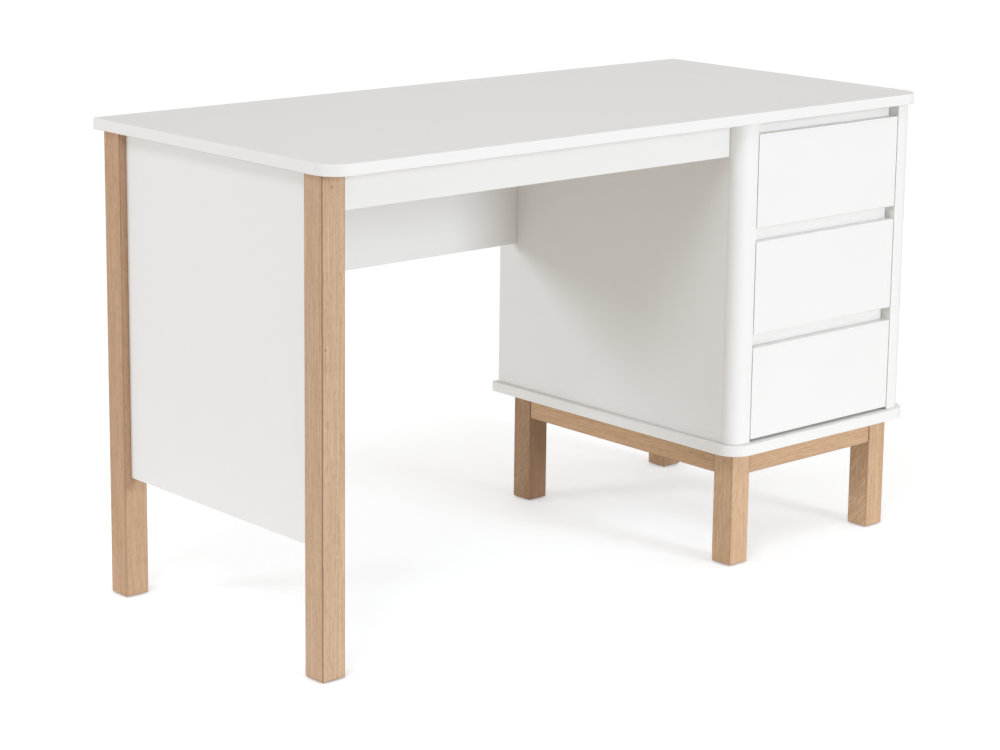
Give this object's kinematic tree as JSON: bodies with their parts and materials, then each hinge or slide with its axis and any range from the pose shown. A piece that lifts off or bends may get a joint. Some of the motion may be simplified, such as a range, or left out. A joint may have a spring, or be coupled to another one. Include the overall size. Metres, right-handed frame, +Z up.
{
  "type": "writing desk",
  "caption": "Writing desk: rounded white top on full-height oak legs with an end panel at the left, and on a drawer cabinet with finger gaps and a low oak frame at the right.",
  "frame": {"origin": "on the floor, under the middle of the desktop", "axes": "+X towards the drawer cabinet, +Y towards the back, +Z up; the drawers face -Y"},
  "size_m": [1.29, 0.6, 0.77],
  "materials": {
    "white_lacquer": "satin white lacquer on MDF",
    "oak": "solid oak, matt clear oil",
    "birch_ply": "birch plywood, clear matt lacquer",
    "zinc_steel": "zinc-plated rolled steel",
    "glide_plastic": "pale moulded plastic"
  },
  "bodies": {
    "desk": {"desktop": "white_lacquer", "leg_front_left": "oak", "leg_rear_left": "oak", "end_panel": "white_lacquer", "front_apron": "white_lacquer", "modesty_panel": "white_lacquer", "plinth_board": "white_lacquer", "corner_post_left": "white_lacquer", "corner_post_right": "white_lacquer", "cabinet_side_left": "white_lacquer", "cabinet_side_right": "white_lacquer", "runner_upright_left": "birch_ply", "runner_upright_right": "birch_ply", "cabinet_back": "white_lacquer", "rear_top_rail": "birch_ply", "grip_rail_lower": "white_lacquer", "grip_rail_middle": "white_lacquer", "grip_rail_top": "white_lacquer", "base_leg_front_left": "oak", "base_leg_front_right": "oak", "base_leg_rear_left": "oak", "base_leg_rear_right": "oak", "base_rail_front": "oak", "base_rail_rear": "oak", "base_rail_left": "oak", "base_rail_right": "oak", "glide_leg_front_left": "glide_plastic", "glide_leg_rear_left": "glide_plastic", "glide_base_leg_front_left": "glide_plastic", "glide_base_leg_front_right": "glide_plastic", "glide_base_leg_rear_left": "glide_plastic", "glide_base_leg_rear_right": "glide_plastic", "runner_lower_left": "zinc_steel", "runner_lower_right": "zinc_steel", "runner_middle_left": "zinc_steel", "runner_middle_right": "zinc_steel", "runner_top_left": "zinc_steel", "runner_top_right": "zinc_steel"},
    "drawer_lower": {"drawer_lower_front": "white_lacquer", "drawer_lower_side_left": "birch_ply", "drawer_lower_side_right": "birch_ply", "drawer_lower_back": "birch_ply", "drawer_lower_bottom": "birch_ply", "drawer_lower_runner_left": "zinc_steel", "drawer_lower_runner_right": "zinc_steel"},
    "drawer_middle": {"drawer_middle_front": "white_lacquer", "drawer_middle_side_left": "birch_ply", "drawer_middle_side_right": "birch_ply", "drawer_middle_back": "birch_ply", "drawer_middle_bottom": "birch_ply", "drawer_middle_runner_left": "zinc_steel", "drawer_middle_runner_right": "zinc_steel"},
    "drawer_top": {"drawer_top_front": "white_lacquer", "drawer_top_side_left": "birch_ply", "drawer_top_side_right": "birch_ply", "drawer_top_back": "birch_ply", "drawer_top_bottom": "birch_ply", "drawer_top_runner_left": "zinc_steel", "drawer_top_runner_right": "zinc_steel"}
  },
  "joints": [
    {"name": "drawer_lower_slide", "type": "slide", "parent": "desk", "child": "drawer_lower", "axis": [0, -1, 0], "range_m": [0, 0.35]},
    {"name": "drawer_middle_slide", "type": "slide", "parent": "desk", "child": "drawer_middle", "axis": [0, -1, 0], "range_m": [0, 0.35]},
    {"name": "drawer_top_slide", "type": "slide", "parent": "desk", "child": "drawer_top", "axis": [0, -1, 0], "range_m": [0, 0.35]}
  ]
}
